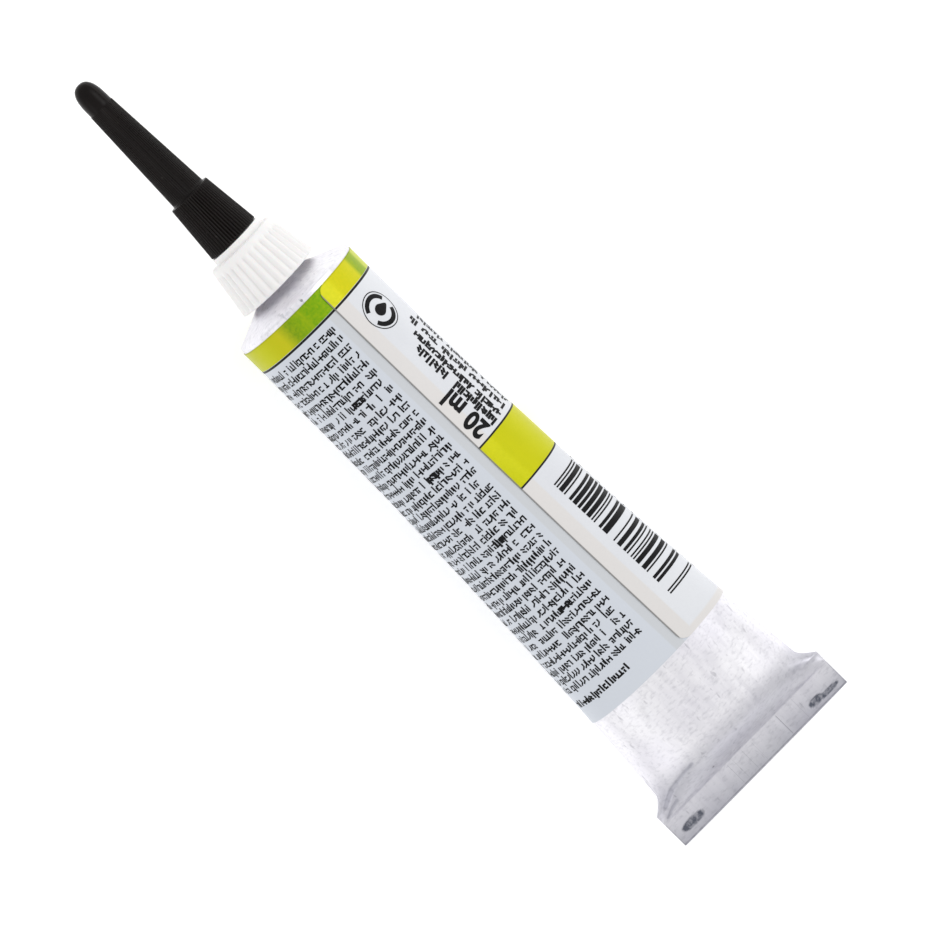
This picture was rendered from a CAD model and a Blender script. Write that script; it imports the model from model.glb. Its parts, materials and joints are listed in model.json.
import json
import math

import bpy
import numpy as np
from mathutils import Matrix, Vector

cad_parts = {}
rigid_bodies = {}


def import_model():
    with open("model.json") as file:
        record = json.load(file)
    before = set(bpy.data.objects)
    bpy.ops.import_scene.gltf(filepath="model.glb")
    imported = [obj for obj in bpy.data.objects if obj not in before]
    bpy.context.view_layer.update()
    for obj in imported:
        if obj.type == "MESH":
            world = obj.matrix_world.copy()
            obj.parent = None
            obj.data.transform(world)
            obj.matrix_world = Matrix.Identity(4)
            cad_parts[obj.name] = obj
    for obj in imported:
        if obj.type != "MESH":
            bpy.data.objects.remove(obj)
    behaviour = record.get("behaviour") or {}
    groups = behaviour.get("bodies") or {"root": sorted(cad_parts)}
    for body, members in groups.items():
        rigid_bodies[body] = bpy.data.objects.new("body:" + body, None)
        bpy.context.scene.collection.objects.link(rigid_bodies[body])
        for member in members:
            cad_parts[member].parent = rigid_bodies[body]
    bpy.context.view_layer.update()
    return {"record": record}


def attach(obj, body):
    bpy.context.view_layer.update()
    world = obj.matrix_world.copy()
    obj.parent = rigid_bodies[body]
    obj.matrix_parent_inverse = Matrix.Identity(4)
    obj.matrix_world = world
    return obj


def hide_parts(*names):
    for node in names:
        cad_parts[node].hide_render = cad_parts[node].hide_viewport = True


# The looks of a collapsible tube of outliner paint: aluminium body with a folded hem, wrapped film label,
# white screw nozzle and black ribbed cap. Shapes are worked out in millimetres along the tube's own axis:
# x = 0 is the shoulder edge, +X runs to the hem, the cap is at -X. laid() puts them where the CAD lies.

MM = 0.001
HEM_SPOT = (84.35, 0.12)  # where the hem's flat face is measured, along and above the axis

# Body of the tube
TUBE_RADIUS = 9.5
PERIMETER = 2 * math.pi * TUBE_RADIUS
FLAT_HALF_WIDTH = PERIMETER / 4
BODY_LENGTH = 81.8
TAPER_SHARE = 0.68
WALL = 0.12
LINING = 0.28  # depth of the inner side, clear of the dents
FLARE_START, FLARE_END = 78.3, 80.45
FLARE_LAG = 0.2  # the far edge flares a little later
SLOPE = 1.5
SLOPE_FOOT = 82.35
SLOPE_ROUNDING = 0.75
HEM_START, HEM_NEAR, HEM_FAR = 82.4, 82.655, 86.045
HEM_PITCH = 0.27
HEM_BEND = HEM_PITCH / 2
TOP_LAYER_RINGS = 26
AROUND = 288

# Label film
LABEL_START, LABEL_END = 0.4, 66.05
FILM = 0.07
GLUE = 0.03
SEAM_FRONT, SEAM_REAR = 75.0, 72.6  # degrees from +Y towards +Z
OVERLAP, RAMP = 2.2, 1.2
CORNER = 1.45
WRAP = PERIMETER + 0.42  # once round over the glue
FLAT_UNIT = 100.0  # the label's flat coordinates are millimetres over this

# Nozzle and cap, along the axis
RIM, SKIRT_FRONT, COLLAR_END, STUB_END, SPOUT_TIP = -2.9, -9.9, -10.85, -17.05, -33.75
NECK_END = -9.3
CAP_RIM, CAP_STEP, CAP_SHOULDER, CAP_TIP = -10.97, -18.97, -34.6, -38.7
CAVITY_END, PIN_END = -34.15, -32.95
FLUTES, CAP_RIBS, BARREL_RIBS = 30, 54, 50

# Camera, in millimetres and degrees
SENSOR, LENS = 36, 233.5135135
DISTANCE = 770.2182285  # from the lens to the aim
AIM = (30.24, 0.15, 0.0)
VIEW_ANGLE = 82.5
ROLL = 44.6

LIE = {}


# ---------------------------------------------------------------- placing and meshes


def read_lie(record):
    """How the CAD lies: the slope of the axis and the shift of its start."""
    axis = record["behaviour"]["joints"][0]["axis"]
    spot = record["mounts"][0]["pos_m"]
    cosine, sine = -axis[0], axis[2]
    LIE["turn"] = np.array([[cosine, 0, sine], [0, 1, 0], [-sine, 0, cosine]])
    start = LIE["turn"] @ np.array([HEM_SPOT[0], 0, HEM_SPOT[1]])
    LIE["shift"] = np.array([spot[0] / MM, 0, spot[2] / MM]) - start


def laid(points, floor=None):
    """Tube millimetres to metres in the frame; floor flattens what would sink below that height in mm."""
    out = np.asarray(points, float) @ LIE["turn"].T + LIE["shift"]
    if floor is not None:
        out[..., 2] = np.maximum(out[..., 2], floor)
    return out * MM


def smooth(value):
    value = np.clip(value, 0.0, 1.0)
    return value * value * (3 - 2 * value)


def in_scene(name, data):
    """An object in the scene that holds this mesh, curve, light or camera."""
    item = bpy.data.objects.new(name, data)
    bpy.context.scene.collection.objects.link(item)
    return item


def plain_mesh(name, points, faces):
    mesh = bpy.data.meshes.new(name)
    mesh.from_pydata(points, [], faces)
    return mesh


def mesh_points(mesh):
    points = np.empty(len(mesh.vertices) * 3, np.float32)
    mesh.vertices.foreach_get("co", points)
    return points.reshape(-1, 3).astype(float)


def set_points(mesh, points):
    mesh.vertices.foreach_set("co", points.astype(np.float32).ravel())
    mesh.update()


def make_piece(name, points, faces, flat=None, marks=None, sharp=40.0):
    """A mesh object; flat gives a (u, v) for each corner and marks a number for each point."""
    mesh = plain_mesh(name, points.tolist(), faces)
    if flat is not None:
        layer = mesh.uv_layers.new(name="flat")
        layer.data.foreach_set("uv", np.asarray(flat, np.float32).ravel())
    for label, values in (marks or {}).items():
        layer = mesh.attributes.new(label, "FLOAT", "POINT")
        layer.data.foreach_set("value", np.asarray(values, np.float32).ravel())
    mesh.validate()
    mesh.shade_smooth()
    mesh.set_sharp_from_angle(angle=math.radians(sharp))
    return in_scene(name, mesh)


def signed_volume(points, faces):
    total = 0.0
    for face in faces:
        for index in range(1, len(face) - 1):
            a, b, c = points[face[0]], points[face[index]], points[face[index + 1]]
            total += np.dot(a, np.cross(b, c))
    return total


def grid_faces(rows, columns, wrap_columns, wrap_rows=False):
    """Quads of a grid and the (row, column) of each of their corners."""
    last_row = rows if wrap_rows else rows - 1
    last_column = columns if wrap_columns else columns - 1
    row, column = np.meshgrid(np.arange(last_row), np.arange(last_column), indexing="ij")
    row, column = row.ravel(), column.ravel()
    corners = [(row, column), (row, column + 1), (row + 1, column + 1), (row + 1, column)]
    faces = np.stack([(r % rows) * columns + c % columns for r, c in corners], 1)
    places = np.stack([np.stack([r, c], 1) for r, c in corners], 1)
    return faces, places


def ringed(name, rings, along, marks=None, poles=(None, None), closed=False, floor=None, sharp=40.0):
    """A surface through rings of points; poles close its ends with a fan."""
    rows, around = rings.shape[:2]
    points = rings.reshape(-1, 3)
    faces, places = grid_faces(rows, around, True, closed)
    lengths = np.append(along, along[0]) / FLAT_UNIT
    flat = np.stack([places[..., 1] / around * PERIMETER / FLAT_UNIT, lengths[places[..., 0]]], -1)
    faces, flat = [tuple(face) for face in faces.tolist()], flat.reshape(-1, 2).tolist()
    marks = {label: list(values.ravel()) for label, values in (marks or {}).items()}
    extra = []
    for end, pole in enumerate(poles):
        if pole is None:
            continue
        centre = len(points) + len(extra)
        extra.append(pole)
        first = 0 if end == 0 else (rows - 1) * around
        for column in range(around):
            here, after = first + column, first + (column + 1) % around
            faces.append((centre, after, here) if end == 0 else (centre, here, after))
            flat.extend([(0.5, lengths[0 if end == 0 else rows - 1])] * 3)
        for values in marks.values():
            values.append(0.0)
    if extra:
        points = np.vstack([points, np.array(extra)])
    placed = laid(points, floor)
    coarse = faces[:: max(1, len(faces) // 4000)]
    if signed_volume(placed / MM, faces if len(faces) < 4000 else coarse) < 0:
        turned_faces, turned_flat, start = [], [], 0
        for face in faces:
            turned_faces.append(face[::-1])
            turned_flat.extend(flat[start : start + len(face)][::-1])
            start += len(face)
        faces, flat = turned_faces, turned_flat
    return make_piece(name, placed, faces, flat, marks, sharp)


def path_length(points):
    steps = np.linalg.norm(np.diff(np.asarray(points, float), axis=0), axis=1)
    return np.concatenate([[0.0], np.cumsum(steps)])


# ---------------------------------------------------------------- body of the tube


def slow_half_width(x):
    share = np.clip(x, 0, None) / BODY_LENGTH
    return TUBE_RADIUS + (FLAT_HALF_WIDTH - TUBE_RADIUS) * TAPER_SHARE * share**2


def height_for(wide):
    """Half height of an oval of that half width whose length round stays the tube's."""
    low, high = np.full_like(wide, WALL), wide.copy()
    for _ in range(50):
        middle = (low + high) / 2
        length = math.pi * (3 * (wide + middle) - np.sqrt((3 * wide + middle) * (wide + 3 * middle)))
        short = length < PERIMETER
        low, high = np.where(short, middle, low), np.where(short, high, middle)
    return low


def half_height(x):
    """The belly's half height, pinched down to the hem at the tail."""
    belly = height_for(slow_half_width(x))
    pinch = np.maximum(SLOPE * (SLOPE_FOOT - x) + WALL, WALL)
    blend = SLOPE_ROUNDING
    both = -blend * np.log(np.exp(-belly / blend) + np.exp(-pinch / blend))
    return np.where(x > 70, np.maximum(both, WALL), belly)


def half_width(x, side):
    """Half width at x; side is +1 at the +Y edge and -1 at the other."""
    slow = slow_half_width(x)
    late = FLARE_LAG * (1 - side)
    flare = np.clip((x - late - FLARE_START) / (FLARE_END - FLARE_START), 0, 1) ** 1.7
    return slow + (FLAT_HALF_WIDTH - 0.01 - slow) * flare


def body_ring(x, shrink=0.0):
    """One ring of the body across the axis at x."""
    angle = np.linspace(0, 2 * math.pi, AROUND, endpoint=False)
    here = np.full(AROUND, float(x))
    wide = half_width(here, np.cos(angle)) - shrink
    high = half_height(np.array([float(x)]))[0] - shrink
    lens = 1 + 0.35 * smooth((x - 66) / 12) - 0.95 * smooth((x - 80.6) / 1.8)
    rise = np.sign(np.sin(angle)) * np.abs(np.sin(angle)) ** lens
    return np.stack([here, wide * np.cos(angle), max(high, 0.02) * rise], 1)


def hem_path():
    """Centre line and direction through the folded strip, from its hidden end up to the flat top layer."""
    steps = []
    for x in np.linspace(HEM_FAR + 0.1, HEM_NEAR, 8):
        steps.append((x, -2 * HEM_PITCH, -1.0, 0.0))
    for turn in np.linspace(0, math.pi, 7)[1:-1]:
        x = HEM_NEAR - HEM_BEND * math.sin(turn)
        steps.append((x, -1.5 * HEM_PITCH - HEM_BEND * math.cos(turn), -math.cos(turn), math.sin(turn)))
    for x in np.linspace(HEM_NEAR, HEM_FAR, 8):
        steps.append((x, -HEM_PITCH, 1.0, 0.0))
    for turn in np.linspace(0, math.pi, 9)[1:-1]:
        x = HEM_FAR + HEM_BEND * math.sin(turn)
        steps.append((x, -0.5 * HEM_PITCH - HEM_BEND * math.cos(turn), math.cos(turn), math.sin(turn)))
    for x in np.linspace(HEM_FAR, HEM_START + 0.12, TOP_LAYER_RINGS):
        steps.append((x, 0.0, -1.0, 0.0))
    return steps


def hem_ring(x, z, ahead_x, ahead_z):
    angle = np.linspace(0, 2 * math.pi, AROUND, endpoint=False)
    rise = WALL * np.sign(np.sin(angle)) * np.abs(np.sin(angle)) ** 0.4
    wide = FLAT_HALF_WIDTH - 0.01 - 0.03 * (z < -0.1)
    return np.stack([x + ahead_z * rise, wide * np.cos(angle), z - ahead_x * rise], 1)


# Creases in the metal: (x, y) points, half width and depth in mm.
CREASES = (
    (((82.3, 5.25), (83.5, 5.3), (84.9, 5.25), (86.2, 5.3)), 0.16, 0.10),
    (((74.4, 5.15), (76.5, 5.2), (78.8, 5.1)), 0.22, 0.035),
    (((81.6, -1.1), (83.6, -1.0), (85.9, -1.1)), 0.22, 0.04),
    (((82.2, -2.7), (84.6, -2.8)), 0.2, 0.045),
    (((82.6, -3.7), (86.0, -3.7)), 0.2, 0.05),
    (((82.5, 0.7), (85.8, 0.5)), 0.3, 0.03),
    (((82.5, 8.3), (84.4, 8.2)), 0.25, 0.04),
    (((82.6, -8.4), (85.6, -8.6)), 0.3, 0.04),
    (((81.9, -13.9), (81.4, -12.9), (80.9, -11.5)), 0.22, 0.16),
    (((80.6, -13.2), (79.9, -12.1), (79.2, -10.8), (78.7, -8.9), (78.4, -6.8)), 0.28, 0.14),
    (((80.4, 13.0), (79.9, 12.0), (79.6, 10.8)), 0.3, 0.03),
    (((67.5, 9.0), (71.0, 9.6)), 0.5, 0.03),
    (((68.5, -6.0), (70.2, -6.4)), 0.35, 0.03),
)
# How much greyer the metal is towards the fold, along x.
FOLD_PLACES = (76.2, 77.9, 79.7, 81.0, 82.3, 83.4, 85.3, 86.2)
FOLD_SHADES = (0.0, 0.42, 0.76, 0.62, 0.38, 0.48, 0.80, 0.95)
# Fine lines pressed along the hem: y and half width in mm, and strength.
HEM_LINES = (
    (5.25, 0.07, 0.75),
    (-1.05, 0.05, 0.35),
    (-2.75, 0.05, 0.3),
    (-3.7, 0.06, 0.4),
    (0.6, 0.04, 0.25),
    (8.2, 0.05, 0.3),
)
# Openings of the fold that look dark: centre x, y, half length, half width.
GAPES = (
    (84.55, -11.9, 0.62, 1.95),
    (84.95, 10.35, 0.55, 1.15),
    (85.2, 12.4, 0.36, 1.75),
)


def distance_to_line(x, y, points):
    best = np.full(x.shape, 1e9)
    for (ax, ay), (bx, by) in zip(points[:-1], points[1:]):
        length = (bx - ax) ** 2 + (by - ay) ** 2
        share = np.clip(((x - ax) * (bx - ax) + (y - ay) * (by - ay)) / length, 0, 1)
        best = np.minimum(best, np.hypot(x - ax - share * (bx - ax), y - ay - share * (by - ay)))
    return best


def dents(x, y):
    """Depth of creases and soft dents, how dark the gapes are, and the shade in the creases."""
    depth, shade = np.zeros(x.shape), np.zeros(x.shape)
    for points, width, deep in CREASES:
        line = deep * np.exp(-((distance_to_line(x, y, points) / width) ** 2))
        depth += line
        shade += 4.5 * line * (x < 82.3)
    soft = np.sin(x * 0.42 + 1.3) * np.sin(y * 0.5 + 0.4) + 0.6 * np.sin(x * 0.9 - y * 0.35 + 2.0)
    depth += 0.035 * soft * smooth((x - 66) / 4) * smooth((84 - x) / 3)
    dark = np.zeros(x.shape)
    for gx, gy, long, wide in GAPES:
        apart = ((x - gx) / long) ** 2 + (np.abs((y - gy) / wide)) ** 2.2
        dark = np.maximum(dark, smooth((1.25 - apart) / 0.45))
    end_line = 0.6 * np.exp(-(((x - 86.04) / 0.07) ** 2))
    end_line = np.maximum(end_line, 0.4 * np.exp(-(((np.abs(y) - 14.84) / 0.07) ** 2)))
    return depth + 0.09 * dark, np.maximum(dark, end_line), shade


def neck_profile():
    """Shoulder, neck, lip and the way back inside, as (x, radius)."""
    angle = math.atan2(2.7, TUBE_RADIUS - 4.05)
    turn = math.pi / 2 - angle
    centre = TUBE_RADIUS - 0.5
    points = []
    for part in np.linspace(0.15, 1, 7):
        points.append((-0.5 * math.sin(part * turn), centre + 0.5 * math.cos(part * turn)))
    start = points[-1]
    for part in np.linspace(0, 1, 14)[1:-1]:
        dip = 0.05 * math.sin(part * math.pi)
        points.append((start[0] + (-2.62 - start[0]) * part + dip, start[1] + (4.2 - start[1]) * part))
    points += [(-2.7, 4.05), (-2.82, 4.0), (-3.2, 3.99), (-3.3, 3.78), (-8.75, 3.78), (-8.85, 3.97)]
    points += [(-9.2, 3.97), (NECK_END, 3.85), (NECK_END, 3.2), (-9.2, 3.1), (-6.0, 3.1), (-2.6, 3.1)]
    points += [(-2.45, 3.2), (-1.0, 6.1), (0.42, 9.1)]
    return points


def round_ring(x, radius):
    angle = np.linspace(0, 2 * math.pi, AROUND, endpoint=False)
    return np.stack([np.full(AROUND, x), radius * np.cos(angle), radius * np.sin(angle)], 1)


def build_tube():
    rings = [hem_ring(*step) for step in hem_path()]
    hem_count = len(rings)
    tail = np.concatenate([np.linspace(HEM_START, 78.0, 54), np.linspace(77.9, 65.0, 70)])
    front = np.linspace(64.0, 0.0, 33)
    outer = np.concatenate([tail, front])
    rings += [body_ring(x) for x in outer]
    upper_count = len(rings)
    profile = neck_profile()
    rings += [round_ring(x, radius) for x, radius in profile]
    lining = np.concatenate([np.linspace(0.6, 64.0, 18), np.linspace(67.0, 80.4, 14)])
    rings += [body_ring(x, LINING) for x in lining]
    rings = np.array(rings)
    middle = [ring.mean(0) for ring in rings]
    along = path_length([(m[0], m[2]) for m in middle])
    x, y, z = rings[..., 0], rings[..., 1], rings[..., 2]
    depth, dark, shade = dents(x, y)
    top = np.zeros(x.shape)
    top[hem_count - TOP_LAYER_RINGS - 1 : upper_count] = 1.0
    upside = (z > 0.02) * top
    rings[..., 2] -= depth * upside * np.clip(z / 0.12, 0, 1) * (x > 66)
    fold = np.interp(x, FOLD_PLACES, FOLD_SHADES) + shade * upside
    marks = {"gape": dark * upside * (x > 82.5), "fold": fold}
    start_pole = rings[0].mean(0) + [0.02, 0, 0]
    end_pole = rings[-1].mean(0) + [0.3, 0, 0]
    poles = (start_pole, end_pole)
    return ringed("tube_skin", rings, along, marks, poles, floor=FILM + GLUE, sharp=50)


def build_paint():
    """The contents, kept clear of the dented metal, with a rounded face in the neck's mouth."""
    profile = [(-8.65, 1.2), (-8.8, 2.2), (-9.0, 2.8), (-9.05, 3.0), (-6.0, 3.0), (-2.4, 3.0), (-0.7, 6.2)]
    rings = [round_ring(x, radius) for x, radius in profile]
    rings += [body_ring(x, LINING + 0.12) for x in np.linspace(0.8, 78.6, 26)]
    rings = np.array(rings)
    along = path_length([(ring[:, 0].mean(), ring[:, 2].max()) for ring in rings])
    poles = (np.array([-8.6, 0, 0]), rings[-1].mean(0) + [0.3, 0, 0])
    return ringed("paint_fill", rings, along, None, poles, floor=FILM + GLUE + LINING + 0.1)


# ---------------------------------------------------------------- label film


def film_point(x, around, out):
    """Points on the wrapped film: around is millimetres from the free edge, out is how far off the metal."""
    angles = np.radians(np.linspace(110, -330, 1761))
    wide, high = slow_half_width(x), height_for(slow_half_width(x))
    points = np.empty(around.shape + (3,))
    for row in range(len(x)):
        y, z = (wide[row] + FILM) * np.cos(angles), (high[row] + FILM) * np.sin(angles)
        run = np.concatenate([[0.0], np.cumsum(np.hypot(np.diff(y), np.diff(z)))])
        seam = math.radians(SEAM_FRONT + (SEAM_REAR - SEAM_FRONT) * x[row] / LABEL_END)
        start = np.interp(-seam, -angles, run)
        angle = -np.interp(start + around[row], run, -angles)
        points[row, :, 0] = x[row]
        points[row, :, 1] = (wide[row] + out[row]) * np.cos(angle)
        points[row, :, 2] = (high[row] + out[row]) * np.sin(angle)
    return points


def film_grid():
    """Rows and columns of the film: x and the distance from the free edge, with its two corners rounded."""
    across = np.concatenate([CORNER * (1 - np.cos(np.linspace(0, math.pi / 2, 9))), np.linspace(1.7, 5, 12)])
    across = np.concatenate([across, np.linspace(5.3, WRAP + OVERLAP, 210)])
    share = np.linspace(0, 1, 84)
    cut = np.where(across < CORNER, CORNER - np.sqrt(np.clip(CORNER**2 - (CORNER - across) ** 2, 0, None)), 0)
    low, high = LABEL_START + cut, LABEL_END - cut
    along = low[None, :] + (high - low)[None, :] * share[:, None]
    return along, np.broadcast_to(across, along.shape)


def film_out(along, across):
    """How far the outer side stands off the metal: over the hidden end, down a ramp, and slightly wavy."""
    over = (FILM + GLUE) * (1 - smooth((across - OVERLAP) / RAMP))
    wave = 0.012 * np.sin(along * 0.55 + across * 0.2) + 0.010 * np.sin(along * 0.21 - across * 0.63 + 1.0)
    edge = 0.02 * np.exp(-across / 0.5) * (1 + np.sin(along * 0.8))
    return GLUE + FILM + over + wave + edge


def film_surface(along, across, out):
    """Film points for a grid whose rows may differ in x from column to column."""
    points = film_point(along[:, -1], across, out)
    for column in np.flatnonzero(across[0] < CORNER):
        one = slice(column, column + 1)
        points[:, column] = film_point(along[:, column], across[:, one], out[:, one])[:, 0]
    return points


def build_film():
    """The closed film, and its outer sheet alone for the print to lie on."""
    along, across = film_grid()
    out = film_out(along, across)
    outer = laid(film_surface(along, across, out), 0.0).reshape(-1, 3)
    inner = laid(film_surface(along, across, out - FILM), FILM).reshape(-1, 3)
    rows, columns = along.shape
    faces, places = grid_faces(rows, columns, False)
    flat_points = np.stack([across, along], -1) / FLAT_UNIT
    flat = flat_points[places[..., 0], places[..., 1]]
    count = rows * columns
    all_faces = [tuple(face) for face in faces.tolist()]
    all_flat = flat.reshape(-1, 2).tolist()
    sheet = make_piece("film_sheet", outer, all_faces, all_flat)
    all_faces += [tuple(index + count for index in face[::-1]) for face in faces.tolist()]
    all_flat += flat[:, ::-1].reshape(-1, 2).tolist()
    border = [(0, column) for column in range(columns)]
    border += [(row, columns - 1) for row in range(1, rows)]
    border += [(rows - 1, column) for column in range(columns - 2, -1, -1)]
    border += [(row, 0) for row in range(rows - 2, 0, -1)]
    for here, after in zip(border, border[1:] + border[:1]):
        a, b = here[0] * columns + here[1], after[0] * columns + after[1]
        all_faces.append((b, a, a + count, b + count))
        all_flat += [tuple(flat_points[place]) for place in (after, here, here, after)]
    film = make_piece("label_film", np.vstack([outer, inner]), all_faces, all_flat, sharp=35)
    face_outward(film.data)
    face_outward(sheet.data)
    return film, sheet


def face_outward(mesh):
    """Turns a mesh over if its first half of faces looks towards the tube's axis."""
    half = max(1, len(mesh.polygons) // 2)
    total = 0.0
    back, shift = LIE["turn"].T, LIE["shift"]
    for index in range(0, half if half > 50 else len(mesh.polygons), 7 if half > 50 else 1):
        polygon = mesh.polygons[index]
        centre = back @ (np.array(polygon.center) / MM - shift)
        normal = back @ np.array(polygon.normal)
        total += (normal[1] * centre[1] + normal[2] * centre[2]) * polygon.area
    if total < 0:
        mesh.flip_normals()


# ---------------------------------------------------------------- geometry node helpers


def new_tree(name, kind, inputs, outputs):
    """A node tree with named inputs and outputs, its input node and its output node."""
    tree = bpy.data.node_groups.new(name, kind)
    for label, sort, value in inputs:
        socket = tree.interface.new_socket(label, in_out="INPUT", socket_type="NodeSocket" + sort)
        if value is not None:
            socket.default_value = value
    for label, sort in outputs:
        tree.interface.new_socket(label, in_out="OUTPUT", socket_type="NodeSocket" + sort)
    return tree, tree.nodes.new("NodeGroupInput"), tree.nodes.new("NodeGroupOutput")


def geometry_tree(name, inputs):
    inputs = [("Geometry", "Geometry", None)] + inputs
    return new_tree(name, "GeometryNodeTree", inputs, [("Geometry", "Geometry")])


def add(tree, kind, links=None, **settings):
    """A node with its settings and its inputs linked or set by name or number."""
    node = tree.nodes.new(kind)
    for key, value in settings.items():
        setattr(node, key, value)
    for key, value in (links or {}).items():
        socket = node.inputs[key]
        if isinstance(value, bpy.types.NodeSocket):
            tree.links.new(value, socket)
        else:
            socket.default_value = value
    return node


def math_of(tree, operation, *values):
    return add(tree, "ShaderNodeMath", dict(enumerate(values)), operation=operation).outputs[0]


def attribute(tree, label, kind="FLOAT"):
    return add(tree, "GeometryNodeInputNamedAttribute", {"Name": label}, data_type=kind).outputs[0]


def at_random(tree, out):
    """True for the share of points that Kept gives."""
    links = {"Probability": out["Kept"], "Seed": out["Seed"]}
    return add(tree, "FunctionNodeRandomValue", links, data_type="BOOLEAN").outputs[3]


def close_tree(tree, result, geometry, material):
    """Ends a geometry tree in real geometry dressed in its material."""
    real = add(tree, "GeometryNodeRealizeInstances", {0: geometry}).outputs[0]
    dressed = add(tree, "GeometryNodeSetMaterial", {"Geometry": real, "Material": material})
    tree.links.new(dressed.outputs[0], result.inputs[0])
    return tree


def grown(name, tree, settings, base=None):
    """Runs a tree on a base mesh, or on nothing, and returns the plain mesh that comes out."""
    holder = base or in_scene(name, bpy.data.meshes.new(name))
    modifier = holder.modifiers.new("shape", "NODES")
    modifier.node_group = tree
    for item in tree.interface.items_tree:
        if item.item_type == "SOCKET" and item.in_out == "INPUT" and item.name in settings:
            modifier[item.identifier] = settings[item.name]
    bpy.context.view_layer.update()
    graph = bpy.context.evaluated_depsgraph_get()
    evaluated = holder.evaluated_get(graph)
    mesh = bpy.data.meshes.new_from_object(evaluated, preserve_all_data_layers=True, depsgraph=graph)
    bpy.data.objects.remove(holder)
    mesh.name = name
    return mesh


# ---------------------------------------------------------------- ribbed mouldings


def rib_tree():
    """Presses ribs into a turned shape: deep where rib_depth says, rib_count of them round the axis."""
    inputs = [("Sharpness", "Float", 1.0), ("Plastic", "Material", None)]
    tree, given, result = geometry_tree("pressed_ribs", inputs)
    phase = math_of(tree, "MULTIPLY", attribute(tree, "rib_count"), attribute(tree, "turn"))
    soft = math_of(tree, "MULTIPLY_ADD", math_of(tree, "COSINE", phase), -0.5, 0.5)
    half = math_of(tree, "COSINE", math_of(tree, "MULTIPLY", phase, 0.5))
    round_rib = math_of(tree, "SUBTRACT", 1.0, math_of(tree, "ABSOLUTE", half))
    sharper = math_of(tree, "SUBTRACT", round_rib, soft)
    mixed = math_of(tree, "MULTIPLY_ADD", sharper, given.outputs["Sharpness"], soft)
    depth = math_of(tree, "MULTIPLY", mixed, attribute(tree, "rib_depth"))
    links = {0: attribute(tree, "outward", "FLOAT_VECTOR"), "Scale": math_of(tree, "MULTIPLY", depth, -1.0)}
    push = add(tree, "ShaderNodeVectorMath", links, operation="SCALE").outputs[0]
    links = {"Geometry": given.outputs["Geometry"], "Offset": push}
    moved = add(tree, "GeometryNodeSetPosition", links).outputs[0]
    return close_tree(tree, result, moved, given.outputs["Plastic"])


def turned(name, profile, around, closed, tree, sharpness, plastic, sharp=32.0):
    """A turned moulding from (x, radius, rib depth, rib count) points, pressed by the rib tree."""
    profile = np.array(profile, float)
    poles = [None, None]
    rows = profile
    if not closed:
        poles = [np.array([profile[0][0], 0, 0]), np.array([profile[-1][0], 0, 0])]
        rows = profile[1:-1]
    angle = np.linspace(0, 2 * math.pi, around, endpoint=False)
    x = np.repeat(rows[:, :1], around, 1)
    y, z = rows[:, 1:2] * np.cos(angle), rows[:, 1:2] * np.sin(angle)
    rings = np.stack([x, y, z], -1)
    marks = {
        "turn": np.broadcast_to(angle, x.shape),
        "rib_depth": np.repeat(rows[:, 2:3], around, 1) * MM,
        "rib_count": np.repeat(rows[:, 3:4], around, 1),
    }
    blank = ringed(name, rings, path_length(rows[:, :2]), marks, tuple(poles), closed, sharp=180)
    radial = np.stack([np.zeros(around), np.cos(angle), np.sin(angle)], 1) @ LIE["turn"].T
    outward = np.zeros((len(blank.data.vertices), 3), np.float32)
    outward[: len(rows) * around] = np.tile(radial, (len(rows), 1))
    layer = blank.data.attributes.new("outward", "FLOAT_VECTOR", "POINT")
    layer.data.foreach_set("vector", outward.ravel())
    mesh = grown(name, tree, {"Sharpness": sharpness, "Plastic": plastic}, blank)
    mesh.shade_smooth()
    mesh.set_sharp_from_angle(angle=math.radians(sharp))
    return in_scene(name, mesh)


def run(start, end, count, ribs_start=0.0, ribs_end=0.0, ribs=0):
    """Profile points from start to end, (x, radius) each, ribs fading from one depth to the other."""
    share = np.linspace(0, 1, count)
    points = []
    for part in share:
        x = start[0] + (end[0] - start[0]) * part
        radius = start[1] + (end[1] - start[1]) * part
        points.append((x, radius, ribs_start + (ribs_end - ribs_start) * part, ribs))
    return points


def rounded(start, corner, end, ribs=0.0, count=0):
    """A corner eased between two points, (x, radius) each."""
    points = []
    for part in np.linspace(0, 1, 5):
        weights = ((1 - part) ** 2, 2 * part * (1 - part), part**2)
        x = sum(w * p[0] for w, p in zip(weights, (start, corner, end)))
        radius = sum(w * p[1] for w, p in zip(weights, (start, corner, end)))
        points.append((x, radius, ribs, count))
    return points


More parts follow.
